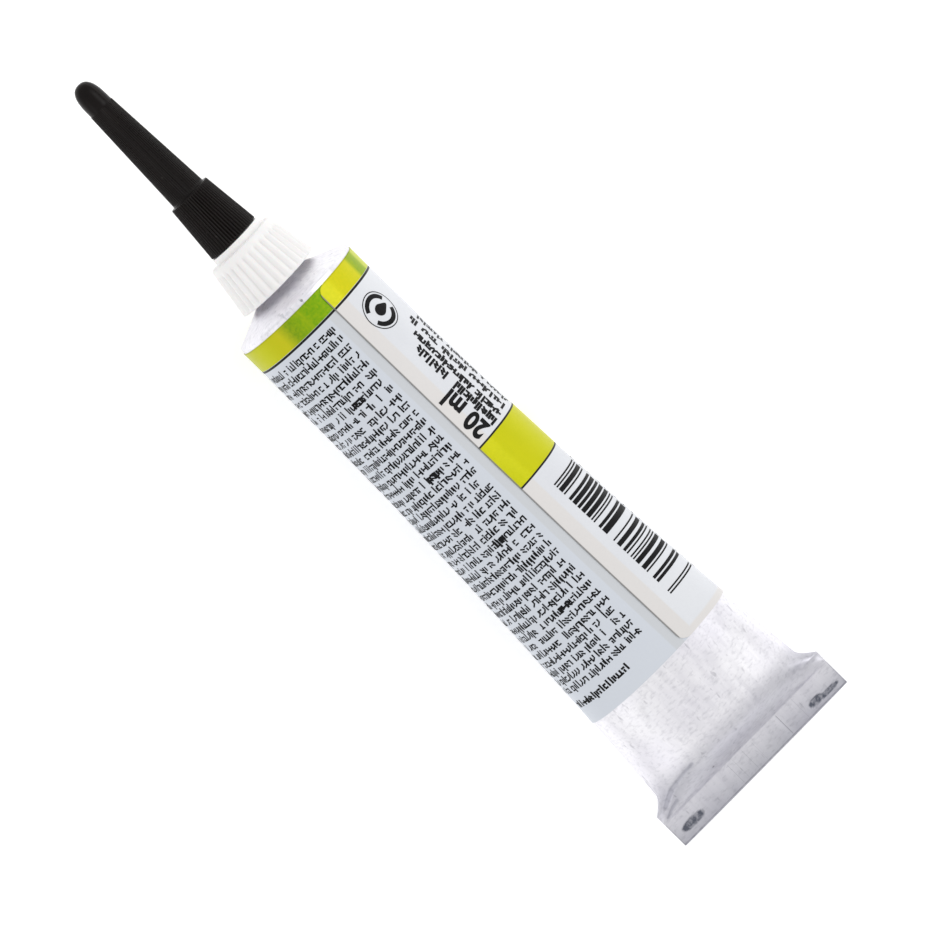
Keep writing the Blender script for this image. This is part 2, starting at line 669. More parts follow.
def build_nozzle(tree, plastic):
    profile = rounded((RIM, 5.95), (RIM, 6.17), (RIM - 0.22, 6.14), 0.16, FLUTES)
    profile += run((RIM - 0.5, 6.09), (SKIRT_FRONT + 1.6, 5.30), 9, 0.27, 0.25, FLUTES)
    profile += run((SKIRT_FRONT + 1.4, 5.27), (SKIRT_FRONT + 0.75, 5.16), 5, 0.24, 0.02, FLUTES)
    profile += rounded((SKIRT_FRONT + 0.35, 5.09), (SKIRT_FRONT, 5.03), (SKIRT_FRONT, 4.75))
    profile += rounded((SKIRT_FRONT, 4.1), (SKIRT_FRONT, 3.92), (SKIRT_FRONT - 0.14, 3.9))
    profile += rounded((COLLAR_END + 0.16, 3.9), (COLLAR_END, 3.9), (COLLAR_END, 3.72))
    profile += rounded((COLLAR_END, 2.6), (COLLAR_END, 2.42), (COLLAR_END - 0.15, 2.36))
    profile += run((COLLAR_END - 0.4, 2.36), (STUB_END + 0.5, 2.36), 3)
    profile += [(STUB_END + 0.2, 2.32, 0, 0), (STUB_END, 2.15, 0, 0), (STUB_END, 1.95, 0, 0)]
    profile += rounded((STUB_END, 1.9), (STUB_END, 1.74), (STUB_END - 0.25, 1.73))
    profile += run((STUB_END - 0.6, 1.71), (SPOUT_TIP + 0.35, 0.82), 8)
    profile += rounded((SPOUT_TIP + 0.2, 0.81), (SPOUT_TIP, 0.8), (SPOUT_TIP, 0.62))
    profile += [(SPOUT_TIP, 0.45, 0, 0), (SPOUT_TIP + 0.08, 0.36, 0, 0)]
    profile += run((SPOUT_TIP + 0.5, 0.38), (STUB_END, 0.95), 5)
    profile += [(COLLAR_END, 0.95, 0, 0), (-9.35, 3.1, 0, 0), (-9.35, 3.6, 0, 0), (-9.35, 4.1, 0, 0)]
    profile += [(-7.0, 4.1, 0, 0), (-4.9, 4.1, 0, 0), (-3.3, 5.37, 0, 0)]
    profile += [(-2.98, 5.37, 0, 0), (RIM, 5.45, 0, 0)]
    return turned("nozzle_shell", profile, 420, True, tree, 0.35, plastic)


def build_cap(tree, plastic):
    profile = [(CAP_TIP, 0.0, 0, 0)]
    length = CAP_SHOULDER - CAP_TIP
    for part in (0.985, 0.955, 0.91, 0.85, 0.77, 0.68, 0.57, 0.45, 0.32, 0.18, 0.05):
        radius = 1.77 * (1 - part**3.4) ** (1 / 2.3)
        profile.append((CAP_SHOULDER - length * part, radius, 0, 0))
    profile += [(CAP_SHOULDER - 0.02, 1.775, 0, 0), (CAP_SHOULDER, 1.8, 0, BARREL_RIBS)]
    profile += run((CAP_SHOULDER + 0.06, 1.835), (CAP_STEP - 0.5, 2.53), 8, 0.075, 0.095, BARREL_RIBS)
    profile += [(CAP_STEP - 0.3, 2.54, 0.05, BARREL_RIBS), (CAP_STEP - 0.12, 2.56, 0, 0)]
    profile += [(CAP_STEP, 2.6, 0, 0), (CAP_STEP, 2.85, 0, 0)]
    profile += rounded((CAP_STEP, 2.93), (CAP_STEP, 3.06), (CAP_STEP + 0.12, 3.08), 0.05, CAP_RIBS)
    profile += run((CAP_STEP + 0.3, 3.10), (CAP_RIM - 0.3, 3.80), 8, 0.15, 0.17, CAP_RIBS)
    profile += rounded((CAP_RIM - 0.12, 3.82), (CAP_RIM, 3.83), (CAP_RIM, 3.7), 0.08, CAP_RIBS)
    profile += [(CAP_RIM, 3.4, 0, 0), (CAP_RIM, 3.12, 0, 0), (CAP_RIM - 0.45, 2.67, 0, 0)]
    profile += run((CAP_RIM - 1.5, 2.67), (-17.3, 2.67), 4)
    profile += [(-17.3, 2.3, 0, 0), (-17.3, 2.0, 0, 0)]
    profile += run((-18.0, 1.96), (CAVITY_END, 1.05), 5)
    profile += [(CAVITY_END, 0.6, 0, 0), (CAVITY_END, 0.3, 0, 0), (PIN_END - 0.1, 0.3, 0, 0)]
    profile += [(PIN_END, 0.2, 0, 0), (PIN_END, 0.0, 0, 0)]
    return turned("cap_shell", profile, 432, False, tree, 0.9, plastic)


def thread_tree():
    """A screw thread: a small ridge swept along a helix."""
    inputs = [("Turns", "Float", 4.0), ("Radius", "Float", 0.004), ("Height", "Float", 0.005)]
    inputs += [("Foot", "Float", 0.0007), ("Crest", "Float", 0.0003), ("Depth", "Float", 0.0003)]
    tree, given, result = geometry_tree("screw_thread", inputs + [("Finish", "Material", None)])
    out = given.outputs
    links = {"Resolution": 48, "Rotations": out["Turns"], "Height": out["Height"], "Reverse": True}
    links.update({"Start Radius": out["Radius"], "End Radius": out["Radius"]})
    helix = add(tree, "GeometryNodeCurveSpiral", links).outputs[0]
    links = {"Bottom Width": out["Foot"], "Top Width": out["Crest"], "Height": out["Depth"], "Offset": 0.0}
    ridge = add(tree, "GeometryNodeCurvePrimitiveQuadrilateral", links, mode="TRAPEZOID").outputs[0]
    links = {"Curve": helix, "Profile Curve": ridge, "Fill Caps": True}
    swept = add(tree, "GeometryNodeCurveToMesh", links).outputs[0]
    return close_tree(tree, result, swept, out["Finish"])


def build_thread(name, tree, start, end, radius, turns, finish):
    """A right-hand thread from x = start to x = end; radius is the middle of its ridge."""
    settings = {"Turns": float(turns), "Radius": radius * MM, "Height": (start - end) * MM, "Finish": finish}
    mesh = grown(name, tree, settings)
    points = mesh_points(mesh) / MM
    stood = np.stack([start - points[:, 2], points[:, 0], -points[:, 1]], 1)
    set_points(mesh, laid(stood))
    piece = in_scene(name, mesh)
    close_and_turn_out(mesh)
    return piece


def close_and_turn_out(mesh):
    """Turns a small closed mesh right side out."""
    points = np.array([vertex.co for vertex in mesh.vertices], float)
    points -= points.mean(0)
    if signed_volume(points / MM, [tuple(polygon.vertices) for polygon in mesh.polygons]) < 0:
        mesh.flip_normals()
    mesh.shade_smooth()
    mesh.set_sharp_from_angle(angle=math.radians(35))


# ---------------------------------------------------------------- print on the film


def wrap_tree():
    """Lays flat print on the film: its x and y are the film's flat coordinates."""
    inputs = [("Film", "Object", None), ("Lift", "Float", 0.00001), ("Detail", "Int", 0)]
    tree, given, result = geometry_tree("print_on_film", inputs + [("Ink", "Material", None)])
    out = given.outputs
    film = add(tree, "GeometryNodeObjectInfo", {"Object": out["Film"]}, transform_space="ORIGINAL")
    links = {"Mesh": out["Geometry"], "Level": out["Detail"]}
    fine = add(tree, "GeometryNodeSubdivideMesh", links).outputs[0]
    place = add(tree, "GeometryNodeInputPosition").outputs[0]
    flat = attribute(tree, "flat", "FLOAT_VECTOR")
    sampled = []
    for kind in ("GeometryNodeInputPosition", "GeometryNodeInputNormal"):
        value = add(tree, kind).outputs[0]
        links = {0: film.outputs["Geometry"], 2: flat, "Sample UV": place, "Value": value}
        sampled.append(add(tree, "GeometryNodeSampleUVSurface", links, data_type="FLOAT_VECTOR").outputs[0])
    links = {0: sampled[1], "Scale": out["Lift"]}
    lift = add(tree, "ShaderNodeVectorMath", links, operation="SCALE").outputs[0]
    target = add(tree, "ShaderNodeVectorMath", {0: sampled[0], 1: lift}, operation="ADD").outputs[0]
    moved = add(tree, "GeometryNodeSetPosition", {"Geometry": fine, "Position": target}).outputs[0]
    return close_tree(tree, result, moved, out["Ink"])


def row_tree():
    """Rows of small marks that stand for printed lines, broken into words at random."""
    inputs = [("Marks", "Collection", None), ("Columns", "Int", 10), ("Rows", "Int", 1)]
    inputs += [("Advance", "Float", 0.5), ("Pitch", "Float", 1.5), ("Size", "Float", 1.0)]
    inputs += [("Kept", "Float", 0.84), ("Seed", "Int", 1), ("Ink", "Material", None)]
    tree, given, result = geometry_tree("printed_rows", inputs)
    out = given.outputs
    wide = math_of(tree, "MULTIPLY", math_of(tree, "SUBTRACT", out["Columns"], 1.0), out["Advance"])
    deep = math_of(tree, "MULTIPLY", math_of(tree, "SUBTRACT", out["Rows"], 1.0), out["Pitch"])
    links = {"Size X": wide, "Size Y": deep, "Vertices X": out["Columns"], "Vertices Y": out["Rows"]}
    grid = add(tree, "GeometryNodeMeshGrid", links).outputs[0]
    points = add(tree, "GeometryNodeMeshToPoints", {"Mesh": grid}).outputs[0]
    links = {"Collection": out["Marks"], "Separate Children": True, "Reset Children": True}
    marks = add(tree, "GeometryNodeCollectionInfo", links).outputs[0]
    links = {4: 0, 5: len(MARKS) - 1, "Seed": math_of(tree, "ADD", out["Seed"], 7.0)}
    pick = add(tree, "FunctionNodeRandomValue", links, data_type="INT").outputs[2]
    size = add(tree, "ShaderNodeCombineXYZ", {0: out["Size"], 1: out["Size"], 2: 1.0}).outputs[0]
    links = {"Points": points, "Selection": at_random(tree, out), "Instance": marks, "Scale": size}
    links.update({"Pick Instance": True, "Instance Index": pick})
    placed = add(tree, "GeometryNodeInstanceOnPoints", links).outputs[0]
    return close_tree(tree, result, placed, out["Ink"])


def bar_tree():
    """Bars of one to a few modules side by side, picked at random, as on a retail pack."""
    inputs = [("Modules", "Int", 95), ("Module", "Float", 0.22), ("Length", "Float", 6.5)]
    inputs += [("Kept", "Float", 0.47), ("Seed", "Int", 3), ("Ink", "Material", None)]
    tree, given, result = geometry_tree("pack_bars", inputs)
    out = given.outputs
    step = add(tree, "ShaderNodeCombineXYZ", {0: out["Module"]}).outputs[0]
    line = add(tree, "GeometryNodeMeshLine", {"Count": out["Modules"], "Offset": step}).outputs[0]
    index = add(tree, "GeometryNodeInputIndex").outputs[0]
    last = math_of(tree, "SUBTRACT", out["Modules"], 1.0)
    near_end = math_of(tree, "MINIMUM", index, math_of(tree, "SUBTRACT", last, index))
    inside = math_of(tree, "GREATER_THAN", near_end, 3.5)
    odd = math_of(tree, "MODULO", near_end, 2.0)
    tenth = math_of(tree, "MULTIPLY", near_end, 0.1)
    guard = math_of(tree, "LESS_THAN", math_of(tree, "ADD", tenth, odd), 0.3)
    chosen = math_of(tree, "MULTIPLY", inside, at_random(tree, out))
    shown = math_of(tree, "GREATER_THAN", math_of(tree, "ADD", chosen, guard), 0.5)
    links = {"Size X": out["Module"], "Size Y": out["Length"], "Vertices X": 2, "Vertices Y": 26}
    bar = add(tree, "GeometryNodeMeshGrid", links).outputs[0]
    links = {"Points": line, "Selection": shown, "Instance": bar}
    placed = add(tree, "GeometryNodeInstanceOnPoints", links).outputs[0]
    return close_tree(tree, result, placed, out["Ink"])


def row_of(tree, ink, marks, columns, advance, size, kept, seed):
    """One flat row of marks, centred on its middle."""
    settings = {"Marks": marks, "Columns": columns, "Advance": advance, "Size": size}
    return grown("row", tree, dict(settings, Kept=kept, Seed=seed, Ink=ink))


# Lines beside the volume figure: place round, start along, marks, advance, size, seed.
SIDE_ROWS = (
    (5.0, 28.55, 23, 0.60, 1.22, 11),
    (6.5, 28.55, 28, 0.54, 1.16, 12),
    (8.5, 28.5, 24, 0.70, 1.25, 13),
    (10.5, 28.5, 27, 0.6, 1.1, 14),
)
PRINT_LIFT = 0.016  # how far the print stands off the film
# The long block of lines
BLOCK_ROWS, BLOCK_START, BLOCK_PITCH, BLOCK_ADVANCE = 38, 5.7, 1.494, 0.478
SHORT_ROWS, BOLD_WORDS = (7, 16, 24), (6, 15, 23, 31)

# Small marks that stand for print: strokes (x0, y0, x1, y1), of a thickness, in a cell one high.
MARKS = (
    ((0.0, 0.0, 0.0, 0.68), (0.34, 0.2, 0.34, 0.68)),
    ((0.05, 0.62, 0.42, 0.62), (0.2, 0.0, 0.2, 0.3)),
    ((0.0, 0.05, 0.38, 0.05), (0.0, 0.63, 0.38, 0.63), (0.0, 0.3, 0.0, 0.45)),
    ((0.18, 0.0, 0.18, 1.0),),
    ((0.0, 0.34, 0.4, 0.34), (0.4, 0.0, 0.4, 0.6)),
    ((0.0, 0.0, 0.36, 0.3), (0.36, 0.45, 0.36, 0.7)),
    ((0.02, 0.0, 0.02, 0.98), (0.36, 0.0, 0.36, 0.5)),
    ((0.0, 0.66, 0.4, 0.66), (0.38, 0.0, 0.38, 0.66)),
    ((0.2, 0.0, 0.2, 0.68), (0.16, 0.9, 0.24, 0.9)),
    ((0.0, 0.04, 0.4, 0.04), (0.2, 0.2, 0.2, 0.68)),
    ((0.0, 0.68, 0.34, 0.4), (0.34, 0.0, 0.0, 0.28)),
    ((0.02, -0.28, 0.02, 0.66), (0.36, 0.1, 0.36, 0.62)),
)


def stroke_mesh(name, strokes, thick):
    """Flat strokes as narrow quads."""
    points, faces = [], []
    for x0, y0, x1, y1 in strokes:
        length = math.hypot(x1 - x0, y1 - y0) or 1.0
        nx, ny = -(y1 - y0) / length * thick / 2, (x1 - x0) / length * thick / 2
        ax, ay = (x1 - x0) / length * thick / 3, (y1 - y0) / length * thick / 3
        start = len(points)
        points += [(x0 - ax + nx, y0 - ay + ny, 0), (x0 - ax - nx, y0 - ay - ny, 0)]
        points += [(x1 + ax - nx, y1 + ay - ny, 0), (x1 + ax + nx, y1 + ay + ny, 0)]
        faces.append((start, start + 1, start + 2, start + 3))
    return plain_mesh(name, points, faces)


def mark_collection(name, thick):
    collection = bpy.data.collections.new(name)
    for index, strokes in enumerate(MARKS):
        label = f"{name}_{index:02d}"
        collection.objects.link(bpy.data.objects.new(label, stroke_mesh(label, strokes, thick)))
    return collection


def on_flat(mesh, around, along):
    """Moves a flat mesh to the film's flat coordinates: around and along are functions of its x and y."""
    points = mesh_points(mesh)
    x, y = points[:, 0].copy(), points[:, 1].copy()
    points[:, 0], points[:, 1], points[:, 2] = around(x, y) / FLAT_UNIT, along(x, y) / FLAT_UNIT, 0
    set_points(mesh, points)
    return mesh


def joined(name, meshes):
    """One mesh from several."""
    points, faces = [], []
    for mesh in meshes:
        start = len(points)
        points += [tuple(vertex.co) for vertex in mesh.vertices]
        faces += [tuple(index + start for index in polygon.vertices) for polygon in mesh.polygons]
    return plain_mesh(name, points, faces)


def printed(name, meshes, tree, film, ink, detail):
    """A print piece: flat meshes joined and laid on the film."""
    flat = in_scene(name + "_flat", joined(name + "_flat", meshes))
    settings = {"Film": film, "Lift": PRINT_LIFT * MM, "Detail": detail, "Ink": ink}
    mesh = grown(name, tree, settings, flat)
    face_outward(mesh)
    return in_scene(name, mesh)


def rows_a(tree, ink, bold):
    """Printed lines beside the volume figure: they run along the tube and read from the hem side."""
    meshes = []
    for base, start, columns, advance, size, seed in SIDE_ROWS:
        end = start - (columns - 1) * advance / 2
        mesh = row_of(tree, ink, bold, columns, advance, size, 0.86, seed)
        meshes.append(on_flat(mesh, lambda x, y: base - y, lambda x, y: end - x))
    return meshes


def rows_b(tree, ink, marks, bold):
    """The long block: lines run round the tube towards the seam, one beside the other along it."""
    meshes = []
    for index in range(BLOCK_ROWS):
        margin = WRAP - 1.85 - 0.8 * index / BLOCK_ROWS
        place = BLOCK_START + BLOCK_PITCH * index
        columns = 34 if index in SHORT_ROWS else 50
        middle = margin - (columns - 1) * BLOCK_ADVANCE / 2 - 0.35
        mesh = row_of(tree, ink, marks, columns, BLOCK_ADVANCE, 1.05, 0.86, 40 + index * 3)
        meshes.append(on_flat(mesh, lambda x, y: middle + x, lambda x, y: place - y))
        if index in BOLD_WORDS:
            word = row_of(tree, ink, bold, 3, 0.62, 1.05, 1.0, 90 + index)
            meshes.append(on_flat(word, lambda x, y: margin - 4.6 + x, lambda x, y: place - y))
    code = row_of(tree, ink, bold, 19, 0.56, 0.95, 1.0, 5)
    meshes.append(on_flat(code, lambda x, y: WRAP - 12.4 + x, lambda x, y: 63.3 - y))
    return meshes


def ring_mark(centre_across, centre_along, radius):
    """A plain generic pack mark: a thin ring round a drop with two short arcs beside it."""

    def arc(inner, outer, start, end, steps):
        points, faces = [], []
        for index in range(steps + 1):
            angle = start + (end - start) * index / steps
            points += [(inner * math.cos(angle), inner * math.sin(angle), 0)]
            points += [(outer * math.cos(angle), outer * math.sin(angle), 0)]
            if index:
                at = 2 * index
                faces.append((at - 2, at - 1, at + 1, at))
        return plain_mesh("arc", points, faces)

    meshes = [arc(radius * 0.95, radius, 0, 2 * math.pi, 96)]
    for start in (0.45, 0.45 + math.pi):
        meshes.append(arc(radius * 0.62, radius * 0.86, start, start + 2.3, 40))
    points = [(0, 0, 0)]
    for index in range(48):
        angle = 2 * math.pi * index / 48
        pull = 1 + 0.75 * max(0.0, math.cos(angle)) ** 6
        points.append((radius * 0.34 * pull * math.cos(angle), radius * 0.30 * math.sin(angle), 0))
    faces = [(0, index + 1, (index + 1) % 48 + 1) for index in range(48)]
    meshes.append(plain_mesh("drop", points, faces))
    return [on_flat(m, lambda x, y: centre_across + x, lambda x, y: centre_along + y) for m in meshes]


def volume_figure():
    """The generic volume on the pack, bold and condensed, reading from the hem side."""
    curve = bpy.data.curves.new("volume", "FONT")
    curve.body = "20 ml"
    curve.size = 3.75
    curve.offset = 0.165
    curve.space_character = 1.06
    curve.resolution_u = 5
    text = in_scene("volume", curve)
    bpy.context.view_layer.update()
    mesh = bpy.data.meshes.new_from_object(text.evaluated_get(bpy.context.evaluated_depsgraph_get()))
    bpy.data.objects.remove(text)
    points = mesh_points(mesh)
    low, high = points[:, 0].min(), points[:, 0].max()
    squeeze = 7.0 / (high - low)
    tall = 2.75 / points[:, 1].max()
    return on_flat(mesh, lambda x, y: 3.42 - y * tall, lambda x, y: 28.55 - (x - low) * squeeze)


def build_print(film, ink):
    wrap, rows, bars = wrap_tree(), row_tree(), bar_tree()
    marks, bold = mark_collection("mark", 0.20), mark_collection("bold_mark", 0.29)
    code = grown("bars", bars, {"Length": 6.7, "Seed": 21, "Ink": ink})
    code = on_flat(code, lambda x, y: 7.0 - y, lambda x, y: 39.75 + x + 0.10 * (3.7 - y) / 7)
    digits = row_of(rows, ink, marks, 15, 1.5, 1.3, 0.95, 33)
    digits = on_flat(digits, lambda x, y: 12.1 - y, lambda x, y: 50.6 - x)
    prints = (
        ("print_beside", rows_a(rows, ink, bold), 1),
        ("print_block", rows_b(rows, ink, marks, bold), 0),
        ("print_bars", [code, digits], 0),
        ("print_figure", [volume_figure()], 3),
        ("print_mark", ring_mark(4.75, 8.15, 2.68), 1),
    )
    pieces = [printed(name, meshes, wrap, film, ink, detail) for name, meshes, detail in prints]
    for collection in (marks, bold):
        for item in list(collection.objects):
            bpy.data.objects.remove(item)
        bpy.data.collections.remove(collection)
    return pieces


# ---------------------------------------------------------------- finishes


def shader_group(name, inputs, outputs):
    return new_tree(name, "ShaderNodeTree", inputs, outputs)


def span_group():
    """1 between Low and High, fading over Soft."""
    inputs = [("Value", "Float", 0.0), ("Low", "Float", 0.0), ("High", "Float", 1.0), ("Soft", "Float", 0.02)]
    tree, given, result = shader_group("between", inputs, [("Mask", "Float")])
    out = given.outputs

    def rise(distance):
        return add(tree, "ShaderNodeClamp", {0: math_of(tree, "DIVIDE", distance, out["Soft"])}).outputs[0]

    low = rise(math_of(tree, "SUBTRACT", out["Value"], out["Low"]))
    high = rise(math_of(tree, "SUBTRACT", out["High"], out["Value"]))
    tree.links.new(math_of(tree, "MULTIPLY", low, high), result.inputs[0])
    return tree


def grain_group():
    """Fine uneven grain, stretched along one way, from 0 to 1."""
    inputs = [("Vector", "Vector", None), ("Scale", "Float", 100.0), ("Stretch", "Vector", (1.0, 1.0, 1.0))]
    inputs += [("Low", "Float", 0.35), ("High", "Float", 0.65), ("Detail", "Float", 3.0)]
    tree, given, result = shader_group("grain", inputs, [("Value", "Float")])
    out = given.outputs
    links = {0: out["Vector"], 1: out["Stretch"]}
    scaled = add(tree, "ShaderNodeVectorMath", links, operation="MULTIPLY").outputs[0]
    links = {"Vector": scaled, "Scale": out["Scale"], "Detail": out["Detail"]}
    noise = add(tree, "ShaderNodeTexNoise", links).outputs[0]
    links = {"Value": noise, "From Min": out["Low"], "From Max": out["High"]}
    tree.links.new(add(tree, "ShaderNodeMapRange", links).outputs[0], result.inputs[0])
    return tree


def speck_group():
    """Scattered small specks of dust or knocks."""
    inputs = [("Vector", "Vector", None), ("Scale", "Float", 900.0)]
    inputs += [("Size", "Float", 0.18), ("Share", "Float", 0.2)]
    tree, given, result = shader_group("specks", inputs, [("Mask", "Float")])
    out = given.outputs
    cells = add(tree, "ShaderNodeTexVoronoi", {"Vector": out["Vector"], "Scale": out["Scale"]})
    near = math_of(tree, "LESS_THAN", cells.outputs["Distance"], out["Size"])
    pick = add(tree, "ShaderNodeSeparateColor", {0: cells.outputs["Color"]}).outputs[0]
    chosen = math_of(tree, "LESS_THAN", pick, out["Share"])
    tree.links.new(math_of(tree, "MULTIPLY", near, chosen), result.inputs[0])
    return tree


def edge_group():
    """Where corners are rubbed: 1 on sharp outer edges, or in grooves where Low is above High."""
    inputs = [("Low", "Float", 0.52), ("High", "Float", 0.6)]
    tree, given, result = shader_group("rubbed_edges", inputs, [("Mask", "Float")])
    point = add(tree, "ShaderNodeNewGeometry").outputs["Pointiness"]
    links = {"Value": point, "From Min": given.outputs[0], "From Max": given.outputs[1]}
    tree.links.new(add(tree, "ShaderNodeMapRange", links).outputs[0], result.inputs[0])
    return tree


def linear(red, green, blue):
    """Display colour numbers to the linear ones that a shader takes."""
    out = []
    for value in (red, green, blue):
        share = value / 255
        out.append(share / 12.92 if share <= 0.04045 else ((share + 0.055) / 1.055) ** 2.4)
    return (*out, 1.0)


def new_finish(name, **sockets):
    """A material with its shader's constant sockets set, and the tree and shader."""
    finish = bpy.data.materials.new(name)
    finish.use_nodes = True
    tree = finish.node_tree
    shader = tree.nodes["Principled BSDF"]
    for label, value in sockets.items():
        shader.inputs[label.replace("_", " ")].default_value = value
    return finish, tree, shader


def group_node(tree, group, links):
    return add(tree, "ShaderNodeGroup", links, node_tree=group).outputs[0]


def even_grain(tree, groups, place, scale):
    links = {"Vector": place, "Scale": scale, "Low": 0.3, "High": 0.7}
    return group_node(tree, groups["grain"], links)


def mix_colour(tree, share, first, second, blend="MIX"):
    links = {0: share, 6: first, 7: second}
    return add(tree, "ShaderNodeMix", links, data_type="RGBA", blend_type=blend).outputs[2]


def tinted(tree, mask, share, base, tone):
    """The base colour, moved a share of the way to a display tone where the mask is 1."""
    return mix_colour(tree, math_of(tree, "MULTIPLY", mask, share), base, linear(*tone))


def feed(tree, shader, **sources):
    for label, socket in sources.items():
        tree.links.new(socket, shader.inputs[label.replace("_", " ")])


def bump(tree, shader, height, strength, distance):
    node = add(tree, "ShaderNodeBump", {"Height": height, "Strength": strength, "Distance": distance})
    tree.links.new(node.outputs[0], shader.inputs["Normal"])


def coordinates(tree):
    return add(tree, "ShaderNodeTexCoord").outputs["Object"]


def flat_parts(tree):
    """Millimetres round and along from the piece's own flat map."""
    flat = add(tree, "ShaderNodeUVMap", uv_map="flat").outputs[0]
    split = add(tree, "ShaderNodeSeparateXYZ", {0: flat}).outputs
    return [math_of(tree, "MULTIPLY", split[index], FLAT_UNIT) for index in range(2)]


def hem_lines(tree, groups, place):
    """Mask of the fine lines pressed along the hem."""
    split = add(tree, "ShaderNodeSeparateXYZ", {0: place})
    along = math_of(tree, "MULTIPLY", split.outputs[0], 1 / MM)
    across = math_of(tree, "MULTIPLY", split.outputs[1], 1 / MM)
    start, end = (laid(np.array([x, 0.0, 0.0]))[0] / MM for x in (HEM_START, HEM_FAR))
    total = 0.0
    for y, half, strength in HEM_LINES:
        links = {"Value": across, "Low": y - half, "High": y + half, "Soft": half}
        line = group_node(tree, groups["between"], links)
        total = math_of(tree, "MULTIPLY_ADD", line, strength, total)
    there = group_node(tree, groups["between"], {"Value": along, "Low": start, "High": end, "Soft": 0.4})
    return math_of(tree, "MULTIPLY", total, there)


def metal_finish(groups):
    """Drawn aluminium, satin, with fine lengthwise lines, tints, specks and dark gapes in the fold."""
    finish, tree, shader = new_finish("satin_aluminium", Metallic=0.86, Specular_IOR_Level=0.5)
    place = coordinates(tree)

    def grain(scale, stretch, low, high, detail):
        links = {"Vector": place, "Scale": scale, "Stretch": stretch, "Low": low, "High": high}
        return group_node(tree, groups["grain"], dict(links, Detail=detail))

    def mark(label):
        return add(tree, "ShaderNodeAttribute", attribute_name=label).outputs["Fac"]

    fine = grain(1500.0, (0.05, 1.0, 1.0), 0.35, 0.7, 2.0)
    scratch = grain(1300.0, (0.3, 1.0, 1.0), 0.66, 0.74, 2.0)
    worn = grain(2600.0, (1.0, 0.45, 1.0), 0.5, 0.72, 4.0)
    mottle = grain(1500.0, (1.0, 1.0, 1.0), 0.36, 0.58, 3.0)
    cloud = even_grain(tree, groups, place, 120.0)
    links = {"Vector": place, "Scale": 420.0, "Size": 0.08, "Share": 0.16}
    specks = group_node(tree, groups["specks"], links)
    base = mix_colour(tree, fine, linear(241, 240, 244), linear(250, 249, 252))
    base = mix_colour(tree, cloud, base, linear(246, 245, 249), "MULTIPLY")
    base = tinted(tree, scratch, 0.4, base, (160, 160, 168))
    base = tinted(tree, worn, 0.32, base, (176, 176, 184))
    base = tinted(tree, specks, 0.6, base, (110, 108, 112))
    base = mix_colour(tree, mark("fold"), base, linear(190, 191, 196), "MULTIPLY")
    patchy = math_of(tree, "MULTIPLY_ADD", mottle, 0.5, 0.45)
    gape = math_of(tree, "MULTIPLY", mark("gape"), patchy)
    base = mix_colour(tree, gape, base, linear(84, 88, 100))
    base = mix_colour(tree, hem_lines(tree, groups, place), base, linear(120, 121, 130))
    rough = add(tree, "ShaderNodeMapRange", {"Value": fine, "To Min": 0.36, "To Max": 0.47}).outputs[0]
    feed(tree, shader, Base_Color=base, Roughness=rough)
    height = math_of(tree, "SUBTRACT", math_of(tree, "MULTIPLY", fine, 0.35), scratch)
    height = math_of(tree, "SUBTRACT", height, math_of(tree, "MULTIPLY", worn, 0.6))
    bump(tree, shader, height, 0.35, 0.00003)
    return finish


SECOND_BAND_REACH = 26.0  # how far the second band runs from the free edge

# Colours of the lime bands round the tube, from the free edge: (millimetres, display colour).
BAND_TONES = (
    (0.0, (212, 210, 30)),
    (3.0, (216, 208, 16)),
    (6.6, (212, 206, 18)),
    (7.3, (138, 168, 10)),
    (9.1, (134, 166, 12)),
    (9.8, (200, 208, 60)),
    (14.0, (206, 212, 80)),
    (40.0, (190, 196, 24)),
    (49.5, (196, 196, 18)),
    (52.6, (196, 190, 18)),
    (53.8, (150, 166, 12)),
    (54.4, (112, 150, 6)),
    (56.0, (118, 164, 4)),
    (56.7, (142, 174, 10)),
    (57.2, (112, 164, 3)),
    (60.1, (110, 166, 2)),
    (62.3, (110, 166, 2)),
)


def band_ramp(tree, around):
    reach = BAND_TONES[-1][0]
    ramp = add(tree, "ShaderNodeValToRGB", {0: math_of(tree, "DIVIDE", around, reach)})
    elements = ramp.color_ramp.elements
    while len(elements) < len(BAND_TONES):
        elements.new(0.5)
    for element, (place, tone) in zip(elements, BAND_TONES):
        element.position = place / reach
        element.color = linear(*tone)
    return ramp.outputs[0]


